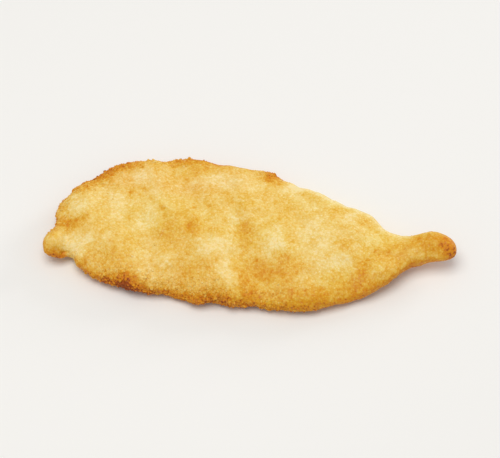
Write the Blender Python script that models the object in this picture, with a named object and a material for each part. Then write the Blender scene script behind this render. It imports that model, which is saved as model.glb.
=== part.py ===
"""Breaded fish fillet: one leaf-shaped flatfish fillet in a thin fried crust, lying flat, shown side up.

It is one solid. Blender units are metres, +Z is up, the length runs along X and the fillet rests on Z = 0.
The blank is a filled outline with a half-round rim. It is remeshed evenly, thickened towards its middle,
bent where the fried piece lifts off what it lies on, and given the lumps and crags of the crust.
"""

import math

import bpy
from mathutils import Vector, kdtree, noise

MM = 0.001

# The outline from above, in mm from the middle of the fillet. X runs from the stub to the tail, Y from the
# front edge to the back edge. Each list carries on where the one before it ends.
STUB = [(-71.2, -12.2), (-75.9, -13.3), (-80.2, -13.6), (-83.3, -10.9), (-83.9, -6.6), (-82.3, -1.9)]
BACK_EDGE = [
    (-80.6, 2.9), (-79.4, 10.8), (-74.2, 17.8), (-66.3, 26.9), (-58.0, 34.2), (-47.5, 37.0),
    (-36.5, 38.3), (-28.0, 39.9), (-20.5, 37.9), (-9.0, 35.9), (3.0, 34.5), (14.2, 30.1),
    (24.5, 23.9), (36.6, 18.4), (46.5, 14.7), (53.2, 10.1), (57.9, 3.9), (62.8, 1.2),
]
TAIL = [(70.0, 0.2), (77.5, -0.3), (83.7, -2.2), (85.9, -7.2), (83.4, -11.9), (78.0, -13.1), (72.5, -13.5)]
FRONT_EDGE = [
    (66.0, -15.9), (60.8, -20.9), (52.3, -26.2), (42.6, -30.6), (31.0, -34.0), (19.0, -35.4),
    (6.5, -34.5), (-5.5, -33.3), (-16.5, -32.7), (-28.0, -29.6), (-40.0, -28.0), (-51.0, -26.4),
    (-59.3, -23.4), (-66.0, -19.0), (-69.8, -14.8),
]

# Thickness, in metres
RIM_RADIUS = 3.1 * MM        # the rim is half round, so it is twice this thick
CROWN = 4.6 * MM             # how much higher the middle stands than the rim
BELLY = 1.4 * MM             # how much lower the middle would sag if nothing held it
MIDDLE_REACH = 30 * MM       # distance from the rim at which the full thickness is reached

# Where the fried piece curls up from what it lies on
RIM_GAP = 1.1 * MM           # under the rim, all round
TAIL_LIFT = 4.2 * MM
TAIL_STARTS, TAIL_ENDS = 38 * MM, 84 * MM    # X over which the tail curls up
STUB_LIFT = 2.4 * MM
STUB_STARTS, STUB_ENDS = -48 * MM, -84 * MM  # X over which the stub end curls up
EDGE_WAVE = 0.7 * MM         # height of the slow waves along the rim
EDGE_WAVE_LENGTH = 34 * MM
EDGE_WAVE_SLANT = 0.6        # how far the waves lean for each mm across

# Relief of the crust: the size of a lump and how far it stands out
SEGMENT_WIDTH, SEGMENT_HEIGHT = 17 * MM, 0.24 * MM
SEGMENT_SLANT = 0.28         # how far a muscle segment leans back for each mm across
SEGMENT_DRIFT, DRIFT_SIZE = 5 * MM, 30 * MM  # how unevenly the segments are spaced, and over what length
LUMP_SIZE, LUMP_HEIGHT = 14 * MM, 1.25 * MM
BUMP_SIZE, BUMP_HEIGHT = 6.5 * MM, 0.55 * MM
BUMP_SHIFT = Vector((7, 3, 1))               # keeps the bumps from following the lumps
CRAG_SIZE, CRAG_HEIGHT = 3.6 * MM, 0.95 * MM
CRAG_LAYERS = 3
CRAG_MEAN = 0.45             # of the crag noise, so that the crags stand out as much as they cut in
CRAG_SHARE_ON_FACES = 0.22   # of the height that the crags have on the rim
CRAG_SHARE_ON_RIGHT = 0.45   # the crust is smoother towards the tail
CRAGS_FADE_OVER = 40 * MM    # X from the middle over which it gets smoother

# Single swellings and hollows: place in mm, radius in mm, height in mm
SWELLINGS = [
    ("blister over the stub", (-67, 11), 9, 0.9),
    ("round end of the stub", (-78, -8), 5, 1.2),
    ("fold behind the stub", (-76, 0.5), 4.5, -1.8),
    ("shoulder by the back edge", (-52, 20), 12, 0.8),
    ("hollow below the shoulder", (-38, 6), 10, -0.7),
    ("swelling in the middle", (-14, 10), 13, 0.9),
    ("hollow by the front edge", (9, -18), 11, -1.0),
    ("swelling on the right", (31, -6), 14, 1.0),
    ("pinch before the tail", (57, -10), 8, -0.8),
    ("crag on the front rim", (-19, -34.5), 4.5, 2.3),
    ("notch beside the crag", (-12, -34.5), 3.2, -3.4),
    ("crag on the back rim", (9, 30), 3.6, 1.3),
    ("knuckle at the end of the tail", (80, -8.5), 5, 0.7),
]

RIM_LEAN = 0.5               # a point belongs to the rim where its normal leans more than this

VOXEL = 1.84 * MM            # side of an even face
OUTLINE_STEPS = 10           # straight pieces between two outline points
RIM_STEPS = 5

# Colours of the fried crust, as linear RGB
CRUST_COLOUR = (0.76, 0.46, 0.11, 1.0)
CRUST_ROUGHNESS = 0.55


def clear_scene():
    for obj in list(bpy.data.objects):
        bpy.data.objects.remove(obj, do_unlink=True)


def link(name, data):
    obj = bpy.data.objects.new(name, data)
    bpy.context.scene.collection.objects.link(obj)
    return obj


def evaluated_mesh(obj, name):
    """A new mesh that holds obj as its modifiers and curve settings make it."""
    bpy.context.view_layer.update()
    graph = bpy.context.evaluated_depsgraph_get()
    mesh = bpy.data.meshes.new_from_object(obj.evaluated_get(graph))
    mesh.name = name
    return mesh


def smooth_step(value):
    """0 below 0, 1 above 1 and an even ease between them."""
    value = min(max(value, 0.0), 1.0)
    return value * value * (3 - 2 * value)


def make_outline(name, rim_radius):
    """The outline as a closed curve. With a rim radius it is a filled blank with a half-round rim."""
    curve = bpy.data.curves.new(name, "CURVE")
    curve.dimensions = "2D"
    curve.resolution_u = OUTLINE_STEPS
    spline = curve.splines.new("BEZIER")
    points = STUB + BACK_EDGE + TAIL + FRONT_EDGE
    spline.bezier_points.add(len(points) - 1)
    for bezier, (x, y) in zip(spline.bezier_points, points):
        bezier.co = (x * MM, y * MM, 0)
        bezier.handle_left_type = "AUTO"
        bezier.handle_right_type = "AUTO"
    spline.use_cyclic_u = True
    if rim_radius:
        curve.fill_mode = "BOTH"
        curve.bevel_depth = rim_radius
        curve.bevel_resolution = RIM_STEPS
        curve.offset = -rim_radius
    else:
        curve.fill_mode = "NONE"
    return link(name, curve)


def outline_tree():
    """A search tree of points along the outline, which gives how far in from the rim a place is."""
    obj = make_outline("outline", 0)
    mesh = evaluated_mesh(obj, "outline_points")
    tree = kdtree.KDTree(len(mesh.vertices))
    for index, vertex in enumerate(mesh.vertices):
        tree.insert((vertex.co.x, vertex.co.y, 0), index)
    tree.balance()
    bpy.data.objects.remove(obj, do_unlink=True)
    return tree


def even_blank():
    """The blank with a half-round rim, remeshed into even faces."""
    outline = make_outline("blank", RIM_RADIUS)
    blank = link("blank_mesh", evaluated_mesh(outline, "blank_mesh"))
    remesh = blank.modifiers.new("even faces", "REMESH")
    remesh.mode = "VOXEL"
    remesh.voxel_size = VOXEL
    mesh = evaluated_mesh(blank, "fillet")
    for helper in (outline, blank):
        bpy.data.objects.remove(helper, do_unlink=True)
    return mesh


def lift_at(x, y):
    """How far the underside is off the surface at the rim."""
    tail = TAIL_LIFT * smooth_step((x - TAIL_STARTS) / (TAIL_ENDS - TAIL_STARTS))
    stub = STUB_LIFT * smooth_step((x - STUB_STARTS) / (STUB_ENDS - STUB_STARTS))
    wave = EDGE_WAVE * math.sin(2 * math.pi * (x + EDGE_WAVE_SLANT * y) / EDGE_WAVE_LENGTH)
    return RIM_GAP + tail + stub + wave


def thicken(mesh, tree):
    """Raises the middle above the rim, lets it sag below, and lifts the ends."""
    for vertex in mesh.vertices:
        x, y, z = vertex.co
        inward = tree.find((x, y, 0))[2]
        fullness = 1 - (1 - min(inward / MIDDLE_REACH, 1)) ** 2
        side = min(max(z / RIM_RADIUS, -1), 1)
        swell = CROWN * fullness * max(side, 0) + BELLY * fullness * min(side, 0)
        vertex.co.z = RIM_RADIUS + lift_at(x, y) + z + swell
    mesh.update()


def named_swellings(x, y):
    height = 0
    for _, place, radius, tall in SWELLINGS:
        away = math.hypot(x / MM - place[0], y / MM - place[1]) / radius
        height += tall * MM * math.exp(-away * away)
    return height


def muscle_segments(x, y):
    """Soft ridges across the fillet, bent back from its middle line, with a slow drift in their spacing."""
    drift = SEGMENT_DRIFT * noise.noise(Vector((x, y, 0)) / DRIFT_SIZE)
    phase = (x + SEGMENT_SLANT * abs(y) + drift) / SEGMENT_WIDTH
    return SEGMENT_HEIGHT * math.sin(2 * math.pi * phase)


def crust_relief(place, rim):
    """How far the crust stands out at a place. Rim is 0 on the faces and 1 on the rim."""
    x, y, _ = place
    lumps = LUMP_HEIGHT * noise.noise(place / LUMP_SIZE)
    bumps = BUMP_HEIGHT * noise.noise(place / BUMP_SIZE + BUMP_SHIFT)
    crags = noise.turbulence(place / CRAG_SIZE, CRAG_LAYERS, False) - CRAG_MEAN
    crag_share = CRAG_SHARE_ON_FACES + (1 - CRAG_SHARE_ON_FACES) * rim
    crag_share *= 1 - (1 - CRAG_SHARE_ON_RIGHT) * smooth_step(x / CRAGS_FADE_OVER)
    return muscle_segments(x, y) * (1 - rim) + lumps + bumps + CRAG_HEIGHT * crag_share * crags


def roughen(mesh):
    """Moves each point along its normal by the relief, and presses flat what would go below the surface."""
    moves = []
    for vertex in mesh.vertices:
        rim = 1 - abs(vertex.normal.z)
        place = vertex.co
        move = vertex.normal * crust_relief(place, rim)
        if vertex.normal.z > 0 or rim > RIM_LEAN:
            outwards = vertex.normal if rim > RIM_LEAN else Vector((0, 0, 1))
            move += outwards * named_swellings(place.x, place.y)
        moves.append(move)
    for vertex, move in zip(mesh.vertices, moves):
        vertex.co += move
        vertex.co.z = max(vertex.co.z, 0)
    mesh.update()


def centre_on_origin(mesh):
    """Puts the middle of the fillet's box over the origin."""
    for axis in (0, 1):
        values = [vertex.co[axis] for vertex in mesh.vertices]
        middle = (min(values) + max(values)) / 2
        for vertex in mesh.vertices:
            vertex.co[axis] -= middle
    mesh.update()


def crust_material():
    material = bpy.data.materials.new("fried crust")
    material.use_nodes = True
    shader = material.node_tree.nodes["Principled BSDF"]
    shader.inputs["Base Color"].default_value = CRUST_COLOUR
    shader.inputs["Roughness"].default_value = CRUST_ROUGHNESS
    shader.inputs["Metallic"].default_value = 0.0
    return material


def make_fillet():
    mesh = even_blank()
    thicken(mesh, outline_tree())
    roughen(mesh)
    centre_on_origin(mesh)
    mesh.shade_smooth()
    mesh.materials.append(crust_material())
    return link("fillet", mesh)


def main():
    clear_scene()
    make_fillet()


main()
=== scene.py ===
"""Breaded fish fillet: the looks of one fried flatfish fillet, built round its solid model.

The file is laid out as an add-on and is run as a script. It loads the solid as a fixed frame, registers its
classes and calls their operators in order. The crust is the solid's own surface, made finer and given its
grain, and loose crumbs stick to it. Lengths are in metres, +Z is up and +X runs from the stub to the tail.
"""

import math

import bmesh
import bpy
import numpy as np
from bpy.props import FloatProperty, FloatVectorProperty, IntProperty, PointerProperty
from mathutils import Matrix, Vector, kdtree, noise


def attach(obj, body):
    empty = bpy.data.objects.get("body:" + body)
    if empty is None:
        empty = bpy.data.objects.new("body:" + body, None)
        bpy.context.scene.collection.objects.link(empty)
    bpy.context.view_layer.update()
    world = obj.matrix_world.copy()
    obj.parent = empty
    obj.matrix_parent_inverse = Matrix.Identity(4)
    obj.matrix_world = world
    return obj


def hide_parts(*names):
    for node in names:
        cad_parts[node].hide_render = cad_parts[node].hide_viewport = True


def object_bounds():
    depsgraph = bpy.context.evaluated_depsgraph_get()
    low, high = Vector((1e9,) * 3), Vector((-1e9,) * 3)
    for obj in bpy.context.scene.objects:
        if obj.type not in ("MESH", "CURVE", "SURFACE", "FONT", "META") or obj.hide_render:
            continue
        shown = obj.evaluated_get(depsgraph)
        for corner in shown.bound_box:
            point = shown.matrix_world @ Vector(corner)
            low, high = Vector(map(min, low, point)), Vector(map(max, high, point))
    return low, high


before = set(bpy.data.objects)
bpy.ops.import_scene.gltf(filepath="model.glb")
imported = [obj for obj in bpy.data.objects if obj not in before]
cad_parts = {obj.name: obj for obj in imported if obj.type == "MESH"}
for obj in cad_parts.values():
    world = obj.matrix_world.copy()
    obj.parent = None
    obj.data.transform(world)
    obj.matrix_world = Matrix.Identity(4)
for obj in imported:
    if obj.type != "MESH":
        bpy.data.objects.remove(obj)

bl_info = {
    "name": "Breaded fish fillet",
    "version": (1, 0, 0),
    "blender": (4, 5, 0),
    "location": "3D View > Sidebar > Fillet",
    "description": "Makes the crust, the crumbs and the studio of a breaded fish fillet",
    "category": "Object",
}

MM = 0.001
NODE = "fillet"
BODY = "root"
CAD_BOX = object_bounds()

# Where the frying left its marks, with painted shade in the crease over the stub, on the stub's lower side
# and under the front left rim, from above: name, place in mm, radii in mm along X and Y, and how much browner
# (above 0) or paler (below 0) the crust is there, where 1 is from the palest to the darkest
PATCHES = [
    # painted crease shade: the crease between the stub and the body is drawn a darker gold
    ("gold crease over the stub, with painted shade", (-73, 0), (8, 3.5), 0.32),
    ("pale blister over the fold", (-71, 9), (6, 5), -0.25),
    ("pale patch over the stub", (-71, -9), (6, 4), -0.24),
    ("pale side of the stub", (-78, -7), (5, 5), -0.13),
    ("gold spot on the stub", (-81.5, -6), (2.6, 3.5), 0.17),
    # painted shade: the stub's lower side is drawn browner, as the light from above reaches it less
    ("painted shade on the lower side of the stub", (-78, -16), (4, 3), 0.25),
    ("pale crust right of the notch", (-70.5, -14), (4, 3.5), -0.30),
    ("crumbed rim at the back left, low", (-71, 17), (5, 7), 0.21),
    ("crumbed rim at the back left, middle", (-65, 27), (7, 6), 0.50),
    ("crumbed rim at the back left, high", (-55, 32), (8, 5), 0.42),
    ("pale patch at the upper left", (-46, 24), (5, 6), -0.22),
    ("pale spot at the upper left", (-39, 14), (3, 3), -0.14),
    ("gold streak at the upper left", (-50, 16), (2, 7), 0.14),
    ("pale patch on the left", (-56, 9), (4, 8), -0.22),
    ("pale spot left of the gold field", (-42, 1), (5, 6), -0.20),
    ("pale spot on the left", (-57, -9), (4, 3), -0.11),
    ("gold rim at the back", (-22, 35), (14, 4), 0.34),
    ("gold patch at the back", (-25, 26), (5, 4), 0.09),
    ("pale patch at the back", (-15, 22), (8, 5), -0.19),
    ("pale patch at the back, further right", (-2, 20), (6, 4), -0.14),
    ("amber crag on the back rim", (8, 27), (3, 3), 0.45),
    ("gold patch below the back crag", (9, 23), (4, 3), 0.23),
    ("pale patch at the back right", (18, 19), (4, 4), -0.20),
    ("pale band at the back right", (27, 12), (7, 3), -0.11),
    ("yellow spot inside the back rim, left", (23, 16), (4, 3), 0.14),
    ("yellow spot inside the back rim, middle", (38, 8), (5, 3), 0.18),
    ("yellow spot inside the back rim, right", (47, 3), (4, 3), 0.18),
    ("gold field left of the middle", (-29, -4), (9, 10), 0.14),
    ("gold patch left of the middle", (-22, -2), (5, 5), 0.14),
    ("pale patch in the middle", (-8, 0), (3, 6), -0.22),
    ("gold streak in the middle", (-1, -6), (4, 8), 0.21),
    ("pale patch below the middle", (-15, -12), (8, 4.5), -0.25),
    ("pale patch right of the middle", (10, -9), (5.5, 6), -0.29),
    ("pale patch on the right", (27, -4), (7, 10), -0.18),
    ("pale patch on the right, lower", (31, -16), (8, 8), -0.11),
    ("gold spot on the right", (36, -12), (5, 4), 0.09),
    ("pale spot by the neck", (50, -8), (4, 4), -0.23),
    ("gold patch on the right", (45, -20), (4, 6), 0.26),
    ("gold patch at the neck", (56, -13), (9, 8), 0.17),
    ("gold tail", (71, -7), (10, 7), 0.21),
    ("browned end of the tail", (83, -10), (5, 5), 0.48),
    ("gold rim at the front right", (40, -27), (10, 6), 0.24),
    ("pale patch by the front right", (38, -18), (5, 4), -0.17),
    ("gold rim at the front", (22, -34), (12, 5), 0.32),
    ("brown patch by the front", (10, -22), (13, 6), 0.31),
    ("amber streak by the front", (-2, -27), (3, 4), 0.20),
    ("gold rim left of the brown patch", (-3, -34), (10, 5), 0.22),
    ("amber spot on the front rim", (1.5, -32), (3.5, 3), 0.18),
    ("pale patch by the front", (-9, -22), (5, 5), -0.16),
    ("amber crag on the front rim", (-19, -35), (5, 3.5), 0.22),
    ("gold patch by the front", (-20, -22), (5, 5), 0.17),
    ("pale spot left of the gold patch", (-33, -17), (4, 4), -0.15),
    ("pale patch by the front left", (-44, -15), (4, 4), -0.17),
    ("gold patch by the front left", (-55, -18), (6, 7), 0.12),
    # browned under-edge, drawn darker still as painted shade of the gap under the lifted edge
    ("front left under-edge, browned and with painted shade", (-52.5, -30), (10, 4.7), 1.15),
    ("amber rim at the front left", (-40, -33), (8, 3), 0.30),
]

# Where the coat is crumbed more coarsely: name, place in mm, radii in mm, strength
COARSE_PLACES = [
    ("rim at the back left", (-63, 24), (15, 15), 1.0),
    ("rim at the back", (-35, 36), (14, 14), 0.5),
    ("rim at the left", (-79, 4), (10, 10), 0.4),
    ("rim at the front left", (-52, -27), (17, 17), 0.8),
    ("rim at the front", (-28, -33), (12, 12), 0.9),
    ("crag on the front rim", (-18, -36), (9, 9), 1.0),
    ("crag on the back rim", (8, 28), (5, 5), 0.8),
    ("rim at the front, right of the crag", (6, -36), (16, 16), 0.5),
]

# Where the rim that faces the back is drawn paler, partly dry flour and partly a painted highlight of the
# light from behind: name, place in mm, radii in mm, strength
FLOUR_AND_RIM_HIGHLIGHT_PLACES = [
    ("back rim right of its crag", (25, 23), (11, 11), 1.0),
    ("back rim before the neck", (42, 14), (13, 13), 1.0),
    ("back of the neck", (58, 3), (9, 9), 1.0),
    ("back of the tail", (70, 1), (8, 5), 0.9),
]

# Where the coat is more lemon with yolk (above 0) or more pinkish (below 0): name, place in mm, radii in mm,
# strength
YOLK_PLACES = [
    ("pinkish crust at the back left", (-50, 24), (14, 8), -1.4),
    ("pinkish crust at the back", (-8, 24), (14, 7), -0.8),
    ("pinkish crust inside the back rim", (-24, 18), (14, 5), -1.3),
    ("pinkish crust at the front left", (-33, -23), (24, 6), -0.7),
    ("lemon rim at the back left", (-63, 28), (7, 6), 1.5),
    ("lemon crust in the middle", (2, -6), (18, 8), 0.5),
    ("lemon field left of the middle", (-38, 2), (16, 8), 0.7),
    ("lemon spots inside the back rim", (34, 12), (14, 5), 0.7),
    ("lemon crust by the neck", (54, -6), (9, 8), 1.0),
    ("orange crag on the front rim", (-19, -36), (5, 4), -2.0),
    ("lemon rim at the front", (8, -37), (32, 4.5), 1.9),
    ("lemon rim at the front right", (40, -25), (10, 6), 0.9),
]

# Where a bubble broke: name, place in mm, radii in mm, strength
PITS = [
    ("pit on the left", (-36, 6), (0.8, 0.7), 1.0),
    ("pit left of the middle", (-23, 7), (0.7, 0.6), 0.8),
    ("pit by the middle", (-17, 8), (0.9, 0.7), 1.0),
    ("pit in the middle", (-8, -5), (0.7, 0.7), 0.9),
    ("pit at the front", (3, -17), (0.8, 0.8), 0.8),
    ("pit on the right", (38, 4), (0.7, 0.6), 0.7),
    ("pit by the neck", (50, -9), (0.7, 0.7), 0.6),
    ("pit at the upper left", (-50, 15), (0.7, 0.7), 0.6),
]

# Where the coat stands up or sinks in: name, place in mm, radii in mm, height in mm
FOLDS = [
    ("knob of the stub", (-80, -8), (3.6, 4.2), 1.2),
    ("crease between the stub and the body", (-74.8, -9), (1.8, 6.0), -1.2),
    ("notch under the stub", (-75, -15), (2.2, 3.0), -1.7),
    ("swelling right of the notch", (-69.5, -17.5), (3.5, 3.5), 0.9),
    ("corner above the stub", (-81, 2), (2.5, 2.2), -1.1),
    ("crease behind the stub", (-75, 1.5), (4.0, 1.6), -0.9),
    ("swelling over the crease", (-70, 8), (5.0, 4.5), 0.7),
    ("ridge left of the middle", (-14, -6), (4.0, 12.0), 0.5),
    ("hollow in the middle", (-2, -6), (4.5, 12.0), -0.5),
    ("ridge right of the middle", (9, -8), (4.0, 9.0), 0.4),
    ("dip of the brown patch", (10, -22), (9.0, 6.0), -0.5),
    ("swelling on the right", (30, -6), (9.0, 11.0), 0.6),
    ("dip before the neck", (46, -12), (4.0, 8.0), -0.5),
]

# How uneven the frying is: size of a patch, how far it goes browner or paler, and where its noise is read
MOTTLES = [(15 * MM, 0.05, 21.0), (6 * MM, 0.11, 31.0), (2.6 * MM, 0.10, 41.0)]
# How far the edges of the patches wander to and fro, and over what length
WANDERS = [(2.4 * MM, 8 * MM), (1.3 * MM, 2.6 * MM)]
# Where the three parts of a random step are read from the noise
STEP_OFFSETS = (Vector((31.7, 5.2, 12.9)), Vector((7.4, 41.3, 23.8)), Vector((19.6, 28.1, 53.5)))
# Where every other noise and field of domes is read, so that no two of them are alike
RIPPLE_SHIFT = 5.0
WRINKLE_SHIFT = 13.0
GRAIN_SHIFT = 3.0
RIM_GRAIN_SHIFT = 11.0
YOLK_SHIFT = 51.0

# The solid's mesh: what is welded, and how much each pass smooths it
WELD_DISTANCE = 0.01 * MM
SMOOTH_FACTOR = 0.5
# A point belongs to a side where the upward part of its normal is below this, and every third of them is
# enough to measure from
SIDE_NORMAL = 0.25
SIDE_STEP = 3

# The domes of the grain: how far their edges wander and how finely, the mean height of their tops, how far
# the tops differ from it, where a dome ends, and what spreads the tops' heights. The lengths are in spacings.
DOME_WANDER = 0.3
DOME_WANDER_FINENESS = 1.7
DOME_HEIGHT = 0.35
DOME_HEIGHT_RANGE = 0.65
DOME_END = 0.8
DOME_SPREAD = 7.3

# How soon a surface that turns down counts as the underside
UNDER_GAIN = 1.4
UNDER_START = 0.1
# How coarse the coat is away from the coarse places, and the share of the coarseness that counts for the
# crumbs far inside the rim
COARSE_EVERYWHERE = 0.10
COARSE_INSIDE = 0.3
# Folds fade out where the surface turns down by this much
FOLDS_END = 0.7

# Relief: the level of each grain that stays where the solid's surface is, how high the grain of the faces is
# on fine crumb and what coarse crumb adds, and the same for the grain of the rim
GRAIN_LEVEL = 0.4
FINE_GRAIN = 0.7
COARSE_GRAIN = 0.6
RIM_GRAIN_LEVEL = 0.35
FINE_RIM = 0.15
COARSE_RIM = 0.85
PIT_DEPTH = 0.35 * MM

# Browning of the plain faces, and how much browner (above 0) or paler (below 0) each thing makes the crust
BASE_BROWNING = 0.36
RIM_BROWNING = 0.12
SLOPE_BROWNING = 0.42
UNDER_BROWNING = 0.12
PIT_BROWNING = 0.5
# painted light and shade of the grain: the tops of the crumb domes are drawn paler, the gaps between them
# browner
GRAIN_TOP_PAINTED_LIGHT = -0.08
RIM_GRAIN_TOP_PAINTED_LIGHT = -0.12
# how much paler the rim that faces the back is drawn: partly dry flour, partly a painted highlight
FLOUR_AND_RIM_HIGHLIGHT_TONE = -0.50
# A slope starts to brown where the upward part of its normal is below SLOPE_START, and is at its brownest
# where that is lower by SLOPE_SPAN. Fine crumb gets the share FINE_SLOPE of it, and coarse crumb adds
# COARSE_SLOPE.
SLOPE_START = 0.9
SLOPE_SPAN = 0.6
FINE_SLOPE = 0.7
COARSE_SLOPE = 0.3
# How soon a surface that turns to the back counts as facing it
BACK_GAIN = 1.8
# Above 1 a patch is more even inside and ends sooner
PATCH_SHARPNESS = 1.8
# Above BROWN_ENOUGH the browning goes on at the share PAST_BROWN of its pace
BROWN_ENOUGH = 0.74
PAST_BROWN = 0.35

# Yolk: how far it turns the hue, and how uneven it is over what length
YOLK_DEGREES = 2.0
YOLK_UNEVENNESS = 0.4
YOLK_SIZE = 9 * MM

# Widths of the coat's flour clots, of its specks of dry flour and of its films of oil
CLOT_SIZE = 1.6 * MM
SPECK_SIZE = 1.0 * MM
OIL_SIZE = 7 * MM
# How far each pattern goes from its palest to its brownest
CLOT_REACH = 0.50
FLOUR_REACH = 0.30
TONE_REACH = 0.22
# How much smoother or rougher than the setting the coat gets
OIL_REACH = 0.12
# Heights of the clots and the flour grains in the bump
CLOT_HEIGHT = 0.25 * MM
FLOUR_HEIGHT = 0.15 * MM

# Crumbs start this high above the floor
CRUMB_START = 0.8 * MM
# The share of its size that a crumb has where the coat is fine, what coarse crumb adds to it, and the
# coarseness at which all of that is added
FINE_SHARE = 0.55
COARSE_SHARE = 0.45
COARSE_ENOUGH = 0.5
# How far a crumb is stretched along each axis, how far its points are dented, and how much browner or paler
# than the crust under it a crumb is
CRUMB_STRETCH = (0.65, 1.25)
CRUMB_DENT = 0.2
CRUMB_BROWNING = (-0.18, 0.10)

# The floor lies this far below the fillet, so that the two never share a plane
FLOOR_GAP = 0.05 * MM


def linear(code):
    """An sRGB hex colour as linear RGB with full alpha."""
    values = [int(code[start:start + 2], 16) / 255 for start in (1, 3, 5)]
    values = [v / 12.92 if v <= 0.04045 else ((v + 0.055) / 1.055) ** 2.4 for v in values]
    return (*values, 1.0)


def length(name, description, default):
    """A length that the user can set."""
    return FloatProperty(name=name, description=description, default=default, unit="LENGTH", precision=5)


def colour(name, description, code):
    """A colour that the user can set."""
    return FloatVectorProperty(
        name=name, description=description, default=linear(code), size=4, subtype="COLOR", min=0, max=1)


class CrustSettings(bpy.types.PropertyGroup):
    """Sizes and colours of the fried crust."""
    face_size: length("Face size", "Side of a face of the crust's mesh", 0.49 * MM)
    smoothing: IntProperty(
        name="Smoothing", description="Passes that take the solid's flat faces out", default=16)
    rim_width: length("Rim width", "How far in from the edge the rim's coarse, browned crust reaches", 6 * MM)
    ripple_size: length("Ripple size", "Width of a soft bump of the coat", 6 * MM)
    ripple_height: length("Ripple height", "Height of a soft bump of the coat", 0.30 * MM)
    wrinkle_size: length("Wrinkle size", "Width of a small fold of the coat", 2.8 * MM)
    wrinkle_height: length("Wrinkle height", "Height of a small fold of the coat", 0.15 * MM)
    grain_size: length("Grain size", "Spacing of the crumb on the faces", 1.3 * MM)
    grain_height: length("Grain height", "Height of the crumb on the faces", 0.13 * MM)
    rim_grain_size: length("Rim grain size", "Spacing of the crumb on the rim", 1.8 * MM)
    rim_grain_height: length("Rim grain height", "Height of the crumb on the rim", 0.38 * MM)
    flour_size: length("Flour size", "Width of a flour grain of the coat", 0.75 * MM)
    pale: colour("Pale", "Crust that is hardly fried", "#f8e0a0")
    straw: colour("Straw", "Lightly fried crust", "#f1d07a")
    gold: colour("Gold", "Crust fried to gold", "#eabb4c")
    amber: colour("Amber", "Crust fried to amber", "#df9b18")
    brown: colour("Brown", "Browned crust", "#d77f12")
    dark: colour("Dark", "Darkest spots of the crust", "#a04c10")
    flour: colour("Flour", "Specks of dry flour on the crust", "#fdebb4")
    roughness: FloatProperty(
        name="Roughness", description="Roughness of the oiled coat", default=0.55, min=0, max=1)
    softness: FloatProperty(
        name="Softness", description="Share of the light that spreads inside the coat", default=0.15,
        min=0, max=1)


class CrumbSettings(bpy.types.PropertyGroup):
    """Sizes of the loose crumbs that stick to the crust."""
    fine_count: IntProperty(name="Fine crumbs", description="Number of fine crumbs", default=7500)
    fine_smallest: length("Smallest fine crumb", "Its radius", 0.20 * MM)
    fine_largest: length("Largest fine crumb", "Its radius", 0.42 * MM)
    coarse_count: IntProperty(name="Coarse crumbs", description="Number of coarse crumbs", default=900)
    coarse_smallest: length("Smallest coarse crumb", "Its radius", 0.35 * MM)
    coarse_largest: length("Largest coarse crumb", "Its radius", 0.85 * MM)
    sunk: FloatProperty(
        name="Sunk", description="Share of a crumb's radius that its middle lies below the crust",
        default=0.1, min=-1, max=1)


class StageSettings(bpy.types.PropertyGroup):
    """The floor, the studio light and the camera."""
    floor: colour("Floor", "Colour of the floor", "#f4f3f1")
    floor_width: length("Floor width", "Side of the floor", 8.0)
    sky: FloatProperty(name="Sky", description="Strength of the even light from all round", default=0.46)
    top_light: FloatProperty(
        name="Top light", description="Power of the large light above", default=5.45, unit="POWER")
    rim_light: FloatProperty(
        name="Rim light", description="Power of the low light at the back right", default=2.5, unit="POWER")
    elevation: FloatProperty(
        name="Elevation", description="How steeply the camera looks down on the fillet",
        default=math.radians(55), subtype="ANGLE", unit="ROTATION")
    azimuth: FloatProperty(
        name="Azimuth", description="How far the camera stands to the right of straight ahead",
        default=math.radians(1.3), subtype="ANGLE", unit="ROTATION")
    distance: length("Distance", "From the camera to the middle of the fillet", 0.680)
    lens: FloatProperty(
        name="Lens", description="Focal length in mm, on a sensor 36 mm wide", default=119)


def add_node(tree, kind, settings=None, inputs=None, links=None, stops=()):
    """Adds a node with its settings, its sockets' values and links, and the stops of its ramp if it has one.

    A new ramp has two stops already, so the first two of the list are the ramp's two ends.
    """
    node = tree.nodes.new(kind)
    for name, value in (settings or {}).items():
        setattr(node, name, value)
    for name, value in (inputs or {}).items():
        node.inputs[name].default_value = value
    for name, source in (links or {}).items():
        tree.links.new(source, node.inputs[name])
    for index, (place, tone) in enumerate(stops):
        elements = node.color_ramp.elements
        element = elements[index] if index < 2 else elements.new(place)
        element.position = place
        element.color = tone
    return node


def smooth_step(value):
    """0 below 0, 1 above 1 and an even ease between them, for an array or a number."""
    value = np.clip(value, 0.0, 1.0)
    return value * value * (3 - 2 * value)


def link_object(name, data):
    """A new object in the scene that shows the data."""
    obj = bpy.data.objects.new(name, data)
    bpy.context.scene.collection.objects.link(obj)
    return obj


def evaluated_mesh(obj, name):
    """A new mesh that holds obj with its modifiers applied."""
    bpy.context.view_layer.update()
    graph = bpy.context.evaluated_depsgraph_get()
    mesh = bpy.data.meshes.new_from_object(obj.evaluated_get(graph))
    mesh.name = name
    return mesh


def vertex_vectors(mesh, name):
    """The places or normals of a mesh's points, one row each."""
    values = np.empty(len(mesh.vertices) * 3)
    mesh.vertices.foreach_get(name, values)
    return values.reshape(-1, 3)


def attribute_values(mesh, name):
    """An attribute's number at each point of a mesh."""
    values = np.empty(len(mesh.vertices), np.float32)
    mesh.attributes[name].data.foreach_get("value", values)
    return values


def set_attribute(mesh, name, values):
    """Gives each point of a mesh its own number, under the attribute's name."""
    attribute = mesh.attributes.new(name, "FLOAT", "POINT")
    attribute.data.foreach_set("value", np.asarray(values, np.float32))


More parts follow.
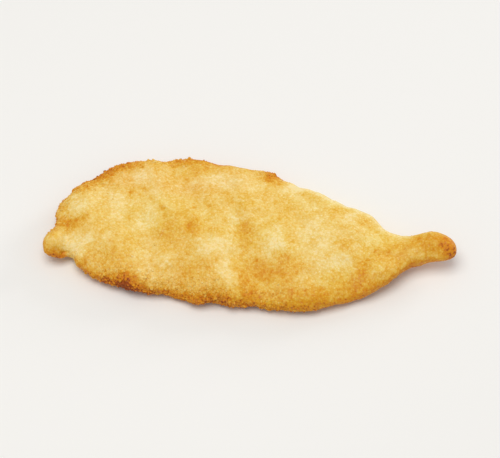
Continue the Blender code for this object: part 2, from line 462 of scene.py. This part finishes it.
def even_surface(settings):
    """The solid's surface as small even faces, with its own flat faces smoothed out."""
    source = link_object("surface_source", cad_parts[NODE].data.copy())
    weld = source.modifiers.new("weld", "WELD")
    weld.merge_threshold = WELD_DISTANCE
    remesh = source.modifiers.new("even faces", "REMESH")
    remesh.mode = "VOXEL"
    remesh.voxel_size = settings.face_size
    smooth = source.modifiers.new("smooth", "SMOOTH")
    smooth.factor = SMOOTH_FACTOR
    smooth.iterations = settings.smoothing
    mesh = evaluated_mesh(source, "fillet_crust")
    bpy.data.objects.remove(source, do_unlink=True)
    return mesh


def distance_from_rim(places, normals):
    """How far in from the fillet's edge each place is, seen from above."""
    sides = np.nonzero(np.abs(normals[:, 2]) < SIDE_NORMAL)[0][::SIDE_STEP]
    tree = kdtree.KDTree(len(sides))
    for index in sides:
        tree.insert((places[index, 0], places[index, 1], 0), index)
    tree.balance()
    return np.array([tree.find((x, y, 0))[2] for x, y, _ in places])


def sum_of_places(places, rows, sharpness=1):
    """Adds up soft spots, each with a name, a place, radii along X and Y in mm, and a strength."""
    total = np.zeros(len(places))
    for _, (x, y), (wide, deep), strength in rows:
        away = ((places[:, 0] / MM - x) / wide) ** 2 + ((places[:, 1] / MM - y) / deep) ** 2
        total += strength * np.exp(-away ** sharpness)
    return total


def random_step(place):
    """A step that changes smoothly from place to place, each part from -1 to 1, the same on every run."""
    return Vector([noise.noise(place + offset) for offset in STEP_OFFSETS])


def wandered(places):
    """The places moved a little to and fro, so that a round spot taken from them gets an uneven outline."""
    moved = places.copy()
    for reach, size in WANDERS:
        moved += reach * np.array([random_step(Vector(place) / size) for place in places])
    return moved


def soft_noise(places, size, shift):
    """Smooth noise from -1 to 1 whose bumps have the given size."""
    offset = Vector((shift, shift * 2, shift * 3))
    return np.array([noise.noise(Vector(place) / size + offset) for place in places])


def crumb_domes(places, size, shift):
    """Rounded crumbs of about the given spacing: 0 between them, and up to 1 on top.

    Each has its own height, and about one in four is a shallow dent instead.
    """
    offset = Vector((shift, shift, shift))
    heights = np.empty(len(places))
    for index, place in enumerate(places):
        spot = Vector(place) / size + offset
        spot += DOME_WANDER * random_step(spot * DOME_WANDER_FINENESS)
        distances, centres = noise.voronoi(spot)
        own_height = DOME_HEIGHT + DOME_HEIGHT_RANGE * noise.cell(centres[0] * DOME_SPREAD)
        heights[index] = own_height * max(0.0, 1 - (distances[0] / DOME_END) ** 2)
    return heights


class Surface:
    """What the crust's relief and colour are worked out from, for each point of the even surface."""

    def __init__(self, mesh, settings):
        self.places = vertex_vectors(mesh, "co")
        self.normals = vertex_vectors(mesh, "normal")
        inward = distance_from_rim(self.places, self.normals)
        self.rim = np.exp(-(inward / settings.rim_width) ** 2)
        self.under = smooth_step(-self.normals[:, 2] * UNDER_GAIN + UNDER_START)
        self.coarse = np.clip(COARSE_EVERYWHERE + sum_of_places(self.places, COARSE_PLACES), 0, 1)
        self.pits = sum_of_places(self.places, PITS) * (self.normals[:, 2] > 0)
        self.folds = sum_of_places(self.places, FOLDS) * smooth_step(self.normals[:, 2] + FOLDS_END)
        self.grains = crumb_domes(self.places, settings.grain_size, GRAIN_SHIFT)
        self.rim_grains = crumb_domes(self.places, settings.rim_grain_size, RIM_GRAIN_SHIFT)


def relief(surface, settings):
    """How far the crust stands out at each point."""
    rough_rim = surface.rim * (FINE_RIM + COARSE_RIM * surface.coarse)
    ripples = settings.ripple_height * soft_noise(surface.places, settings.ripple_size, RIPPLE_SHIFT)
    wrinkles = settings.wrinkle_height * soft_noise(surface.places, settings.wrinkle_size, WRINKLE_SHIFT)
    grain_share = FINE_GRAIN + COARSE_GRAIN * surface.coarse
    grains = settings.grain_height * (surface.grains - GRAIN_LEVEL) * grain_share
    rim_grains = settings.rim_grain_height * (surface.rim_grains - RIM_GRAIN_LEVEL) * rough_rim
    return ripples + wrinkles + grains + rim_grains + MM * surface.folds - PIT_DEPTH * surface.pits


def browning_and_painted_light(surface):
    """How brown the crust is at each point, painted light and shade included: about 0 where it is hardly
    fried and 1 where it is darkest.
    """
    places = surface.places
    mottle = sum(strength * soft_noise(places, size, shift) for size, strength, shift in MOTTLES)
    slope = smooth_step((SLOPE_START - surface.normals[:, 2]) / SLOPE_SPAN)
    slope_share = FINE_SLOPE + COARSE_SLOPE * surface.coarse
    rim = RIM_BROWNING * surface.rim + SLOPE_BROWNING * slope * slope_share
    # painted light and shade of the grain: paler on the crumb tops, browner in the gaps
    crumb = GRAIN_TOP_PAINTED_LIGHT * surface.grains + RIM_GRAIN_TOP_PAINTED_LIGHT * surface.rim * surface.rim_grains
    # the rim that faces the back is drawn paler: partly dry flour, partly a painted highlight of the light
    # from behind
    facing_back = smooth_step(surface.normals[:, 1] * BACK_GAIN)
    flour = FLOUR_AND_RIM_HIGHLIGHT_TONE * facing_back * sum_of_places(places, FLOUR_AND_RIM_HIGHLIGHT_PLACES)
    spots = sum_of_places(wandered(places), PATCHES, PATCH_SHARPNESS) + PIT_BROWNING * surface.pits
    level = BASE_BROWNING + mottle + rim + crumb + flour + UNDER_BROWNING * surface.under + spots
    return np.minimum(level, BROWN_ENOUGH) + PAST_BROWN * np.maximum(level - BROWN_ENOUGH, 0)


def yolk(surface):
    """How much yolk shows in the coat at each point, from about -2, pinkish, to 2, lemon."""
    uneven = YOLK_UNEVENNESS * soft_noise(surface.places, YOLK_SIZE, YOLK_SHIFT)
    return sum_of_places(surface.places, YOLK_PLACES) + uneven


def fried_colour(tree, settings, browned, clots, grains):
    """The colour of the frying, painted light and shade included: the level of brown, made uneven by the
    clots, the grains and each grain's tone.
    """
    tone = add_node(
        tree, "ShaderNodeSeparateColor", links={"Color": grains.outputs["Color"]}).outputs["Red"]
    patterns = ((clots, CLOT_REACH), (grains.outputs["Distance"], FLOUR_REACH), (tone, TONE_REACH))
    level = browned
    # each pattern makes the coat browner and paler by up to half of its reach
    for pattern, reach in patterns:
        uneven = add_node(
            tree, "ShaderNodeMath", {"operation": "MULTIPLY_ADD"}, {1: reach, 2: -reach / 2}, {0: pattern})
        level = add_node(
            tree, "ShaderNodeMath", {"operation": "ADD"}, links={0: level, 1: uneven.outputs[0]}).outputs[0]
    return add_node(
        tree, "ShaderNodeValToRGB", links={"Fac": level},
        stops=[
            (0.0, settings.pale), (1.0, settings.dark), (0.2, settings.straw),
            (0.44, settings.gold), (0.70, settings.amber), (0.89, settings.brown),
        ]).outputs["Color"]


def floured_colour(tree, settings, place, browned, fried):
    """The fried colour with specks of dry flour, real ones 0.3 mm, drawn wider so that they show."""
    dust = add_node(
        tree, "ShaderNodeTexNoise", inputs={"Scale": 1 / SPECK_SIZE, "Detail": 2.0, "Roughness": 0.7},
        links={"Vector": place}).outputs["Fac"]
    dusted = add_node(
        tree, "ShaderNodeMapRange",
        inputs={"From Min": 0.54, "From Max": 0.74, "To Min": 0.0, "To Max": 0.42}, links={"Value": dust})
    # the flour is fried away where the crust is brown
    left = add_node(
        tree, "ShaderNodeMapRange",
        inputs={"From Min": 0.3, "From Max": 0.8, "To Min": 1.0, "To Max": 0.25}, links={"Value": browned})
    share = add_node(
        tree, "ShaderNodeMath", {"operation": "MULTIPLY"},
        links={0: dusted.outputs["Result"], 1: left.outputs["Result"]})
    return add_node(
        tree, "ShaderNodeMix", {"data_type": "RGBA"}, {"B": settings.flour},
        {"Factor": share.outputs[0], "A": fried}).outputs["Result"]


def yolk_tinted(tree, floured):
    """The colour with its hue turned towards lemon where there is yolk, and the other way below 0."""
    share = add_node(tree, "ShaderNodeAttribute", {"attribute_name": "yolk"}).outputs["Fac"]
    # the hue socket counts in whole turns, and 0.5 leaves the colour as it is
    hue = add_node(
        tree, "ShaderNodeMath", {"operation": "MULTIPLY_ADD"}, {1: YOLK_DEGREES / 360, 2: 0.5}, {0: share})
    return add_node(
        tree, "ShaderNodeHueSaturation",
        links={"Hue": hue.outputs[0], "Color": floured}).outputs["Color"]


def oily_roughness(tree, settings, place):
    """The coat's roughness: oil lies on it in wide films, which are smoother than the dry coat."""
    oil = add_node(
        tree, "ShaderNodeTexNoise", inputs={"Scale": 1 / OIL_SIZE, "Detail": 2.0}, links={"Vector": place})
    return add_node(
        tree, "ShaderNodeMapRange",
        inputs={"From Min": 0.35, "From Max": 0.65, "To Min": settings.roughness - OIL_REACH,
                "To Max": settings.roughness + OIL_REACH},
        links={"Value": oil.outputs["Fac"]}).outputs["Result"]


def coat_bump(tree, clots, grains):
    """The coat's finest relief, clots with flour grains on them, on top of what the mesh has."""
    clot_bump = add_node(
        tree, "ShaderNodeBump", inputs={"Strength": 0.7, "Distance": CLOT_HEIGHT}, links={"Height": clots})
    # the distance is least in the middle of a grain, so this bump is turned over
    return add_node(
        tree, "ShaderNodeBump", {"invert": True}, {"Strength": 0.5, "Distance": FLOUR_HEIGHT},
        {"Height": grains.outputs["Distance"], "Normal": clot_bump.outputs["Normal"]}).outputs["Normal"]


def fried_crust_material(settings, name, softness):
    """Fried flour and egg coat, dipped and shallow fried in oil.

    It reads as a dull, fine crumb, straw to gold with amber rims, with a weak shine where oil lies on it.
    Softness is how much light goes in and comes out again close by: some in the coat, none in a dry crumb.
    """
    material = bpy.data.materials.new(name)
    material.use_nodes = True
    tree = material.node_tree
    shader = tree.nodes["Principled BSDF"]
    place = add_node(tree, "ShaderNodeTexCoord").outputs["Object"]
    # this level holds the frying and also the painted light and shade of the crust
    browned = add_node(tree, "ShaderNodeAttribute", {"attribute_name": "browning_and_painted_light"}).outputs["Fac"]
    # flour clots make the coat uneven between the crumbs
    clots = add_node(
        tree, "ShaderNodeTexNoise", inputs={"Scale": 1 / CLOT_SIZE, "Detail": 3.0, "Roughness": 0.6},
        links={"Vector": place}).outputs["Fac"]
    # single flour grains are about 0.2 mm, too fine to show, so they are drawn as wide as the setting says
    grains = add_node(
        tree, "ShaderNodeTexVoronoi", {"feature": "SMOOTH_F1"},
        {"Scale": 1 / settings.flour_size, "Smoothness": 0.4, "Randomness": 1.0}, {"Vector": place})
    fried = fried_colour(tree, settings, browned, clots, grains)
    floured = floured_colour(tree, settings, place, browned, fried)
    tree.links.new(yolk_tinted(tree, floured), shader.inputs["Base Color"])
    tree.links.new(oily_roughness(tree, settings, place), shader.inputs["Roughness"])
    tree.links.new(coat_bump(tree, clots, grains), shader.inputs["Normal"])
    # the index of frying oil, with less shine than bare oil because crumb breaks the film up
    shader.inputs["IOR"].default_value = 1.46
    shader.inputs["Specular IOR Level"].default_value = 0.28
    shader.inputs["Metallic"].default_value = 0.0
    # light spreads by about 0.8 mm inside the coat, red furthest
    shader.inputs["Subsurface Weight"].default_value = softness
    shader.inputs["Subsurface Radius"].default_value = (1.0, 0.7, 0.4)
    shader.inputs["Subsurface Scale"].default_value = 0.8 * MM
    return material


def make_crust(settings):
    """The fillet's fried crust, in place of the solid's own surface."""
    mesh = even_surface(settings)
    surface = Surface(mesh, settings)
    moved = surface.places + surface.normals * relief(surface, settings)[:, None]
    moved[:, 2] = np.maximum(moved[:, 2], 0)
    mesh.vertices.foreach_set("co", moved.ravel())
    set_attribute(mesh, "browning_and_painted_light", browning_and_painted_light(surface))
    set_attribute(mesh, "yolk", yolk(surface))
    inside_share = COARSE_INSIDE + (1 - COARSE_INSIDE) * surface.rim
    set_attribute(mesh, "coarseness", surface.coarse * inside_share)
    mesh.update()
    mesh.shade_smooth()
    mesh.materials.clear()
    mesh.materials.append(fried_crust_material(settings, "fried flour and egg crust", settings.softness))
    crust = link_object("fillet_crust", mesh)
    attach(crust, BODY)
    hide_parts(NODE)


def crumb_shape(rounds):
    """Points and triangles of a small round crumb of radius 1."""
    mesh = bpy.data.meshes.new("crumb_shape")
    shape = bmesh.new()
    bmesh.ops.create_icosphere(shape, subdivisions=rounds, radius=1)
    shape.to_mesh(mesh)
    shape.free()
    points = vertex_vectors(mesh, "co")
    faces = np.array([tuple(face.vertices) for face in mesh.polygons])
    bpy.data.meshes.remove(mesh)
    return points, faces


def scatter(crust_mesh, count, evenness, generator):
    """Random points on the crust, denser where it is coarse: triangle corners and the shares of each."""
    crust_mesh.calc_loop_triangles()
    corners = np.empty(len(crust_mesh.loop_triangles) * 3, np.int32)
    crust_mesh.loop_triangles.foreach_get("vertices", corners)
    corners = corners.reshape(-1, 3)
    places = vertex_vectors(crust_mesh, "co")
    a, b, c = (places[corners[:, column]] for column in range(3))
    areas = np.linalg.norm(np.cross(b - a, c - a), axis=1) / 2
    coarse = attribute_values(crust_mesh, "coarseness")[corners].mean(axis=1)
    off_floor = a[:, 2] > CRUMB_START
    density = areas * (evenness + coarse ** 2) * off_floor
    chosen = generator.choice(len(corners), size=count, p=density / density.sum())
    shares = generator.dirichlet((1, 1, 1), size=count)
    return corners[chosen], shares


def crumb_radii(generator, sizes, coarse):
    """A radius for each crumb: most are near the smallest, and all are smaller where the coat is fine."""
    smallest, largest = sizes
    radii = smallest + (largest - smallest) * generator.random(len(coarse)) ** 2
    return radii * (FINE_SHARE + COARSE_SHARE * smooth_step(coarse / COARSE_ENOUGH))


def random_turn(generator):
    """A random rotation as a 3 by 3 matrix."""
    axis = Vector(generator.normal(size=3))
    return np.array(Matrix.Rotation(generator.uniform(0, 2 * math.pi), 3, axis))


def crumb_points(generator, points, radii, centres):
    """The points of every crumb: the round shape, stretched, dented, turned, sized and put in its place."""
    count = len(radii)
    stretch = generator.uniform(*CRUMB_STRETCH, (count, 1, 3))
    dents = 1 + generator.uniform(-CRUMB_DENT, CRUMB_DENT, (count, len(points), 1))
    shapes = points[None] * stretch * dents
    turns = np.array([random_turn(generator) for _ in range(count)])
    shapes = np.einsum("nij,npj->npi", turns, shapes) * radii[:, None, None] + centres[:, None]
    shapes[:, :, 2] = np.maximum(shapes[:, :, 2], 0)
    return shapes


def make_crumbs(name, crust, count, sizes, sunk, evenness, rounds, seed):
    """One mesh of crumbs that lie on the crust, each with its own size, turn, shape and brown, added to the
    crust's own brown and painted light and shade under it.
    """
    generator = np.random.default_rng(seed)
    mesh = crust.data
    corners, shares = scatter(mesh, count, evenness, generator)
    centres = (vertex_vectors(mesh, "co")[corners] * shares[:, :, None]).sum(axis=1)
    outwards = (vertex_vectors(mesh, "normal")[corners] * shares[:, :, None]).sum(axis=1)
    outwards /= np.linalg.norm(outwards, axis=1)[:, None]
    browned = (attribute_values(mesh, "browning_and_painted_light")[corners] * shares).sum(axis=1)
    coarse = (attribute_values(mesh, "coarseness")[corners] * shares).sum(axis=1)
    radii = crumb_radii(generator, sizes, coarse)
    centres -= outwards * (radii * sunk)[:, None]
    centres[:, 2] = np.maximum(centres[:, 2], radii)
    points, faces = crumb_shape(rounds)
    shapes = crumb_points(generator, points, radii, centres)
    all_faces = faces[None] + (np.arange(count) * len(points))[:, None, None]
    crumbs = bpy.data.meshes.new(name)
    crumbs.from_pydata(shapes.reshape(-1, 3).tolist(), [], all_faces.reshape(-1, 3).tolist())
    own = generator.uniform(*CRUMB_BROWNING, count)
    set_attribute(crumbs, "browning_and_painted_light", np.repeat(browned + own, len(points)))
    return link_object(name, crumbs)


def make_floor(settings):
    """A wide pale floor just below the fillet."""
    mesh = bpy.data.meshes.new("studio_floor")
    half = settings.floor_width / 2
    corners = [(-half, -half, 0), (half, -half, 0), (half, half, 0), (-half, half, 0)]
    mesh.from_pydata(corners, [], [(0, 1, 2, 3)])
    floor = link_object("studio_floor", mesh)
    floor.location.z = -FLOOR_GAP
    material = bpy.data.materials.new("matt white card")
    material.use_nodes = True
    shader = material.node_tree.nodes["Principled BSDF"]
    shader.inputs["Base Color"].default_value = settings.floor
    shader.inputs["Roughness"].default_value = 0.7
    mesh.materials.append(material)


def add_area_light(name, place, size, power, tone):
    """A square soft light that points at the fillet."""
    data = bpy.data.lights.new(name, "AREA")
    data.shape = "SQUARE"
    data.size = size
    data.energy = power
    data.color = tone[:3]
    light = link_object(name, data)
    light.location = place
    light.rotation_euler = (-Vector(place)).to_track_quat("-Z", "Y").to_euler()


def light_the_stage(settings):
    """Even light from all round, a large soft light above and a low one at the back right."""
    world = bpy.data.worlds.new("studio")
    world.use_nodes = True
    background = world.node_tree.nodes["Background"]
    background.inputs["Color"].default_value = linear("#ffffff")
    background.inputs["Strength"].default_value = settings.sky
    bpy.context.scene.world = world
    add_area_light(
        "top_softbox", place=(-0.14, -0.05, 0.98), size=0.7, power=settings.top_light,
        tone=linear("#fffdf8"))
    add_area_light(
        "rim_softbox", place=(0.75, 0.60, 0.28), size=0.3, power=settings.rim_light,
        tone=linear("#ffffff"))


def place_camera(settings):
    """A camera in front of the fillet that looks down on its middle."""
    middle = Vector((0, 0, CAD_BOX[1].z / 2))
    flat = math.cos(settings.elevation)
    towards = Vector((
        math.sin(settings.azimuth) * flat, -math.cos(settings.azimuth) * flat, math.sin(settings.elevation)))
    camera = link_object("camera", bpy.data.cameras.new("camera"))
    camera.data.lens = settings.lens
    camera.data.sensor_width = 36
    camera.data.clip_start = 0.01
    camera.location = middle + towards * settings.distance
    camera.rotation_euler = (-towards).to_track_quat("-Z", "Y").to_euler()
    bpy.context.scene.camera = camera


class FILLET_OT_crust(bpy.types.Operator):
    """Make the fillet's fried crust from the solid's surface"""
    bl_idname = "fillet.crust"
    bl_label = "Crust"

    def execute(self, context):
        make_crust(context.scene.fillet_crust)
        return {"FINISHED"}


class FILLET_OT_crumbs(bpy.types.Operator):
    """Stick fine and coarse crumbs to the crust"""
    bl_idname = "fillet.crumbs"
    bl_label = "Crumbs"

    def execute(self, context):
        settings = context.scene.fillet_crumbs
        crust = bpy.data.objects["fillet_crust"]
        # evenness sets how many crumbs also lie where the coat is fine
        fine = make_crumbs(
            "fine_crumbs", crust, settings.fine_count,
            sizes=(settings.fine_smallest, settings.fine_largest),
            sunk=settings.sunk, evenness=0.03, rounds=1, seed=7)
        coarse = make_crumbs(
            "coarse_crumbs", crust, settings.coarse_count,
            sizes=(settings.coarse_smallest, settings.coarse_largest),
            sunk=settings.sunk, evenness=0.002, rounds=2, seed=19)
        dry = fried_crust_material(context.scene.fillet_crust, "toasted breadcrumb", softness=0)
        for obj in (fine, coarse):
            obj.data.materials.append(dry)
            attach(obj, BODY)
        return {"FINISHED"}


class FILLET_OT_stage(bpy.types.Operator):
    """Lay the floor, set the studio light and place the camera"""
    bl_idname = "fillet.stage"
    bl_label = "Stage"

    def execute(self, context):
        settings = context.scene.fillet_stage
        make_floor(settings)
        light_the_stage(settings)
        place_camera(settings)
        context.scene.view_settings.view_transform = "Standard"
        return {"FINISHED"}


class FILLET_PT_panel(bpy.types.Panel):
    """Lists the fillet's settings and the operators that make it"""
    bl_idname = "FILLET_PT_panel"
    bl_label = "Breaded fish fillet"
    bl_space_type = "VIEW_3D"
    bl_region_type = "UI"
    bl_category = "Fillet"

    def draw(self, context):
        scene = context.scene
        steps = [
            (scene.fillet_crust, "fillet.crust"),
            (scene.fillet_crumbs, "fillet.crumbs"),
            (scene.fillet_stage, "fillet.stage"),
        ]
        for settings, operator in steps:
            box = self.layout.box()
            for name in settings.__annotations__:
                box.prop(settings, name)
            box.operator(operator)


CLASSES = (
    CrustSettings, CrumbSettings, StageSettings,
    FILLET_OT_crust, FILLET_OT_crumbs, FILLET_OT_stage, FILLET_PT_panel,
)


def register():
    for cls in CLASSES:
        bpy.utils.register_class(cls)
    bpy.types.Scene.fillet_crust = PointerProperty(type=CrustSettings)
    bpy.types.Scene.fillet_crumbs = PointerProperty(type=CrumbSettings)
    bpy.types.Scene.fillet_stage = PointerProperty(type=StageSettings)


def unregister():
    del bpy.types.Scene.fillet_stage
    del bpy.types.Scene.fillet_crumbs
    del bpy.types.Scene.fillet_crust
    for cls in reversed(CLASSES):
        bpy.utils.unregister_class(cls)


def main():
    register()
    bpy.ops.fillet.crust()
    bpy.ops.fillet.crumbs()
    bpy.ops.fillet.stage()


if __name__ == "__main__":
    main()
